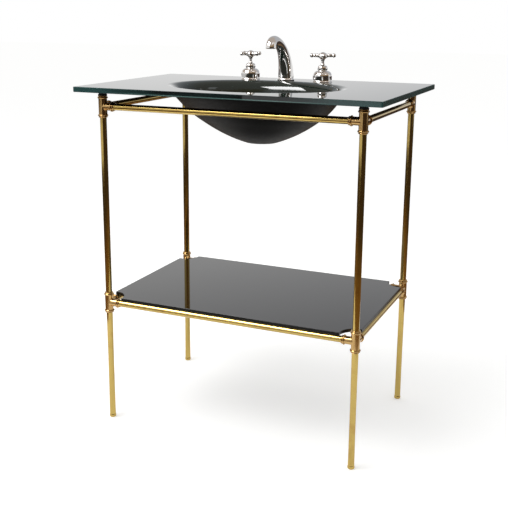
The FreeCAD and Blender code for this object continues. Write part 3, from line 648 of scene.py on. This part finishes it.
def hang_walls(stage):
    """The dark room on the right of the front, the white wall all round, the ceiling and the backdrop."""
    up, back = (0, 0, 1), (0, 1, 0)
    cool, gold = linear("#C2C4C9"), linear("#A98F6B")
    hang_card("room_wall", round_card((WALL_R, 0.0), (WALL_R, WALL_TOP),
                                      math.radians(140), math.radians(247)),
              unlit("unlit_room", stage.room_colour, (gold, up, 1.9, 2.6), (WHITE, RIGHT_FRONT, 4.4, 3.0)))
    hang_card("upper_wall", round_card((SET_R, 2.3), (SET_R, CEILING)),
              unlit("unlit_upper_wall", WHITE, (stage.ceiling_colour, up, 2.3, 3.2)))
    hang_card("ceiling", flat_card(2 * SET_R, 2 * SET_R, (0, 0, CEILING)),
              unlit("unlit_ceiling", stage.ceiling_colour, (cool, back, 1.5, 4.5)))
    hang_card("backdrop_fade", flat_card(8.0, 2.2, (-0.6, 3.0, 2.1), (-0.6, 0, 2.1)),
              unlit("unlit_backdrop", WHITE, (cool, (0.4, 0, 1), 0.6, 1.8)))


def hang_lights(stage):
    """The softbox and the window as they are mirrored, and the lamps that give their light."""
    low, high = [(level,) * 3 + (1.0,) for level in (0.15 * stage.softbox, stage.softbox)]
    hang_card("softbox_front", flat_card(*SOFTBOX_SIZE, SOFTBOX_PLACE, BASIN),
              unlit("unlit_softbox", low, (high, (0, 0, 1), 2.1, 2.5)))
    hang_card("window", flat_card(1.0, 0.8, (2.6, -0.85, 3.15), BASIN),
              unlit("unlit_window", (1.6, 1.6, 1.6, 1)))
    soft_light("key", stage.key_light, SOFTBOX_SIZE, SOFTBOX_PLACE, BASIN)
    soft_light("fill", stage.fill_light, (1.2, 1.6), (-2.8, -0.6, 1.4), (0, 0, 0.6))


def surround(light):
    """A world that is seen white, and gives an even light of its own strength."""
    world = bpy.data.worlds.new("white_surround")
    world.use_nodes = True
    tree = world.node_tree
    tree.nodes.clear()
    strength = add_node(tree, "ShaderNodeMix", {"Factor": seen_rays(tree), "A": light, "B": 1.0},
                        data_type="FLOAT")
    sky = add_node(tree, "ShaderNodeBackground", {"Color": WHITE, "Strength": strength})
    add_node(tree, "ShaderNodeOutputWorld", {"Surface": sky})
    return world


def photo_camera(stage):
    """The camera, where the photo was taken from."""
    data = bpy.data.cameras.new("camera")
    data.sensor_width = SENSOR
    data.lens = stage.lens
    data.shift_x, data.shift_y = LENS_SHIFT
    camera = bpy.data.objects.new("camera", data)
    bpy.context.scene.collection.objects.link(camera)
    camera.matrix_world = (Matrix.Translation(stage.eye) @ Matrix.Rotation(stage.yaw, 4, "Z")
                           @ Matrix.Rotation(math.pi / 2 - stage.pitch, 4, "X")
                           @ Matrix.Rotation(stage.roll, 4, "Z"))
    return camera


class SINK_OT_stage(bpy.types.Operator):
    """Lay the floor, hang the cards and lights, and set the camera"""
    bl_idname = "console_sink.stage"
    bl_label = "Stage"

    def execute(self, context):
        scene = context.scene
        stage = scene.sink_stage
        scene.view_settings.view_transform = "Standard"
        hang_card("floor", flat_card(stage.floor_size, stage.floor_size, (0, 0, 0)),
                  floor_finish(stage.floor_colour), mirrored_only=False)
        hang_floor_cards(stage)
        hang_walls(stage)
        hang_lights(stage)
        scene.world = surround(stage.world_light)
        scene.camera = photo_camera(stage)
        return {"FINISHED"}


OPERATORS = (SINK_OT_tubes, SINK_OT_tees, SINK_OT_glass, SINK_OT_taps, SINK_OT_fittings, SINK_OT_threads,
             SINK_OT_stage)


class SINK_PT_panel(bpy.types.Panel):
    """Lists the sink's settings and operators"""
    bl_idname = "SINK_PT_panel"
    bl_label = "Console Sink"
    bl_space_type = "VIEW_3D"
    bl_region_type = "UI"
    bl_category = "Console Sink"

    def draw(self, context):
        layout = self.layout
        for group in (context.scene.sink_finish, context.scene.sink_threads, context.scene.sink_stage):
            box = layout.box()
            for name in group.__annotations__:
                box.prop(group, name)
        for operator in OPERATORS:
            layout.operator(operator.bl_idname)


CLASSES = (FinishSettings, ThreadSettings, StageSettings) + OPERATORS + (SINK_PT_panel,)


def register():
    for cls in CLASSES:
        bpy.utils.register_class(cls)
    bpy.types.Scene.sink_finish = bpy.props.PointerProperty(type=FinishSettings)
    bpy.types.Scene.sink_threads = bpy.props.PointerProperty(type=ThreadSettings)
    bpy.types.Scene.sink_stage = bpy.props.PointerProperty(type=StageSettings)


def unregister():
    del bpy.types.Scene.sink_stage
    del bpy.types.Scene.sink_threads
    del bpy.types.Scene.sink_finish
    for cls in reversed(CLASSES):
        bpy.utils.unregister_class(cls)


def main():
    register()
    for step in (bpy.ops.console_sink.tubes, bpy.ops.console_sink.tees, bpy.ops.console_sink.glass,
                 bpy.ops.console_sink.taps, bpy.ops.console_sink.fittings, bpy.ops.console_sink.threads,
                 bpy.ops.console_sink.stage):
        step()


if __name__ == "__main__":
    main()
